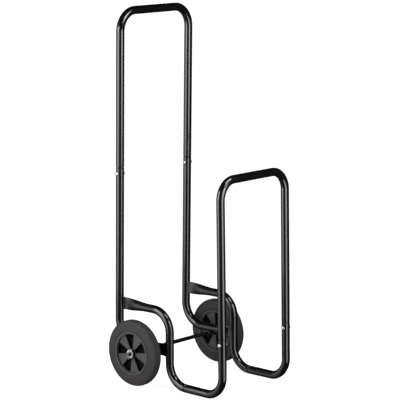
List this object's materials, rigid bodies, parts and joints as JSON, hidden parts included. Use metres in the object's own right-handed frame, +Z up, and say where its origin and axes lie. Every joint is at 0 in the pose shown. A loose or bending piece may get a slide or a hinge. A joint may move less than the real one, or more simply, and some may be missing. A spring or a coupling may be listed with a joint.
{
  "type": "fireside log cart",
  "caption": "Wheeled cart of bent black steel tube for carrying and keeping firewood by a hearth, with a tall handle hoop and a low front hoop.",
  "frame": {"origin": "on the floor, under the middle of the cart's bounding box", "axes": "+X to the right seen from behind the front hoop, along the axle; +Y from the front hoop to the handle; +Z up"},
  "size_m": [0.4278, 0.4372, 1.1235],
  "materials": {
    "powder_coat": "smooth glossy black powder coat on steel tube, with a faint orange peel",
    "zinc_fasteners": "bright zinc plate",
    "tyre": "dark grey solid rubber, dull, slightly dusty",
    "wheel_hub": "moulded dark grey plastic, satin"
  },
  "bodies": {
    "frame": {"handle_hoop": "powder_coat", "front_hoop": "powder_coat", "axle_rod": "powder_coat", "rear_post_left": "powder_coat", "side_tube_left": "powder_coat", "front_foot_left": "powder_coat", "joint_bolt_rear_left": "zinc_fasteners", "cap_nut_rear_left": "zinc_fasteners", "joint_bolt_front_left": "zinc_fasteners", "cap_nut_front_left": "zinc_fasteners", "outer_washer_left": "zinc_fasteners", "inner_washer_left": "zinc_fasteners", "axle_spacer_left": "powder_coat", "split_pin_left": "zinc_fasteners", "rear_post_right": "powder_coat", "side_tube_right": "powder_coat", "front_foot_right": "powder_coat", "joint_bolt_rear_right": "zinc_fasteners", "cap_nut_rear_right": "zinc_fasteners", "joint_bolt_front_right": "zinc_fasteners", "cap_nut_front_right": "zinc_fasteners", "outer_washer_right": "zinc_fasteners", "inner_washer_right": "zinc_fasteners", "axle_spacer_right": "powder_coat", "split_pin_right": "zinc_fasteners"},
    "wheel_left": {"tyre_left": "tyre", "wheel_hub_left": "wheel_hub"},
    "wheel_right": {"tyre_right": "tyre", "wheel_hub_right": "wheel_hub"}
  },
  "joints": [
    {"name": "wheel_left_spin", "type": "hinge", "parent": "frame", "child": "wheel_left", "pos_m": [-0.1868, 0.1065, 0.1], "axis": [1, 0, 0], "continuous": true},
    {"name": "wheel_right_spin", "type": "hinge", "parent": "frame", "child": "wheel_right", "pos_m": [0.1868, 0.1065, 0.1], "axis": [1, 0, 0], "continuous": true}
  ]
}
